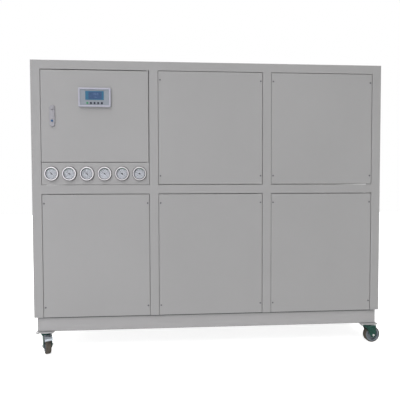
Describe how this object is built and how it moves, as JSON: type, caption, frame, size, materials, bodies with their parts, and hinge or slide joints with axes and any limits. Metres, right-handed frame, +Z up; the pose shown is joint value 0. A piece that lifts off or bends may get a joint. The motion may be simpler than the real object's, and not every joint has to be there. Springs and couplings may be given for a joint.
{
  "type": "recirculating chiller cabinet",
  "caption": "Water-cooled recirculating chiller: powder-coated panelled cabinet on casters, hinged control door with controller and lock, and a row of pressure gauges.",
  "frame": {"origin": "on the floor, under the middle of the cabinet's footprint", "axes": "+X to the right as seen by someone facing the control door, +Y to the back, +Z up"},
  "size_m": [2.2612, 1.1242, 1.81],
  "materials": {
    "powder_coat": "light warm grey fine-texture powder coat",
    "base_paint": "light grey powder coat on the base frame",
    "inner_sheet": "plain grey sheet inside the control compartment",
    "zinc": "zinc-plated steel",
    "bezel_chrome": "polished bezel rings",
    "gauge_black": "dark gauge cases",
    "dial_white": "light dial faces",
    "pointer_black": "dark pointers",
    "clear_glass": "clear gauge windows",
    "controller_plastic": "light lavender-grey moulding",
    "display_blue": "blue display window",
    "key_navy": "dark navy keys",
    "lock_satin": "satin lock plate and lever",
    "button_blue": "blue push button",
    "breaker_grey": "light grey breakers",
    "contactor_black": "dark contactors",
    "duct_grey": "grey wiring ducts",
    "port_brass": "brass water ports",
    "gland_black": "black cable gland",
    "fork_green": "dark green plated fork",
    "hub_grey": "grey plastic hub",
    "tyre_tread": "brownish grey tread"
  },
  "bodies": {
    "cabinet": {"base_rails_long": "base_paint", "base_rails_short": "base_paint", "base_cross_members": "base_paint", "floor_pan": "zinc", "corner_posts": "powder_coat", "mullions": "powder_coat", "top_rails": "powder_coat", "mid_rails": "powder_coat", "roof_panel": "powder_coat", "lower_front_panels": "powder_coat", "upper_front_panels": "powder_coat", "gauge_panel": "powder_coat", "back_panels": "powder_coat", "side_panels": "powder_coat", "gauge_cases": "gauge_black", "gauge_bezels": "bezel_chrome", "gauge_dials": "dial_white", "gauge_pointers": "pointer_black", "gauge_lenses": "clear_glass", "control_box_sides": "inner_sheet", "control_box_top_and_floor": "inner_sheet", "control_box_back": "inner_sheet", "mounting_plate": "inner_sheet", "din_rails": "zinc", "breakers": "breaker_grey", "contactors": "contactor_black", "wiring_ducts": "duct_grey", "hinge_pins": "zinc", "water_ports": "port_brass", "cable_gland": "gland_black", "caster_plates": "zinc"},
    "door": {"door_panel": "powder_coat", "controller_housing": "controller_plastic", "controller_display": "display_blue", "controller_keys": "key_navy", "lock_plate": "lock_satin", "lock_button": "button_blue"},
    "lock_lever": {"lock_lever": "lock_satin"},
    "caster_front_left": {"caster_fork_front_left": "fork_green", "brake_pedal_front_left": "zinc"},
    "wheel_front_left": {"caster_hub_front_left": "hub_grey", "caster_tyre_front_left": "tyre_tread"},
    "caster_front_right": {"caster_fork_front_right": "fork_green"},
    "wheel_front_right": {"caster_hub_front_right": "hub_grey", "caster_tyre_front_right": "tyre_tread"},
    "caster_back_left": {"caster_fork_back_left": "fork_green"},
    "wheel_back_left": {"caster_hub_back_left": "hub_grey", "caster_tyre_back_left": "tyre_tread"},
    "caster_back_right": {"caster_fork_back_right": "fork_green", "brake_pedal_back_right": "zinc"},
    "wheel_back_right": {"caster_hub_back_right": "hub_grey", "caster_tyre_back_right": "tyre_tread"}
  },
  "joints": [
    {"name": "door_hinge", "type": "hinge", "parent": "cabinet", "child": "door", "pos_m": [-0.39433, -0.494, 1.471], "axis": [0, 0, 1], "range_deg": [0, 110]},
    {"name": "lever_flip", "type": "hinge", "parent": "door", "child": "lock_lever", "pos_m": [-0.9715, -0.506, 1.5065], "axis": [-1, 0, 0], "range_deg": [0, 35]},
    {"name": "swivel_front_left", "type": "hinge", "parent": "cabinet", "child": "caster_front_left", "pos_m": [-1.04, -0.455, 0.115], "axis": [0, 0, 1], "continuous": true},
    {"name": "spin_front_left", "type": "hinge", "parent": "caster_front_left", "child": "wheel_front_left", "pos_m": [-1.02454, -0.48972, 0.052], "axis": [0.9135, 0.4067, 0], "continuous": true},
    {"name": "swivel_front_right", "type": "hinge", "parent": "cabinet", "child": "caster_front_right", "pos_m": [1.04, -0.455, 0.115], "axis": [0, 0, 1], "continuous": true},
    {"name": "spin_front_right", "type": "hinge", "parent": "caster_front_right", "child": "wheel_front_right", "pos_m": [1.07791, -0.45235, 0.052], "axis": [-0.0698, 0.9976, 0], "continuous": true},
    {"name": "swivel_back_left", "type": "hinge", "parent": "cabinet", "child": "caster_back_left", "pos_m": [-1.04, 0.455, 0.115], "axis": [0, 0, 1], "continuous": true},
    {"name": "spin_back_left", "type": "hinge", "parent": "caster_back_left", "child": "wheel_back_left", "pos_m": [-1.07791, 0.45235, 0.052], "axis": [0.0698, -0.9976, 0], "continuous": true},
    {"name": "swivel_back_right", "type": "hinge", "parent": "cabinet", "child": "caster_back_right", "pos_m": [1.04, 0.455, 0.115], "axis": [0, 0, 1], "continuous": true},
    {"name": "spin_back_right", "type": "hinge", "parent": "caster_back_right", "child": "wheel_back_right", "pos_m": [1.02454, 0.48972, 0.052], "axis": [-0.9135, -0.4067, 0], "continuous": true}
  ]
}
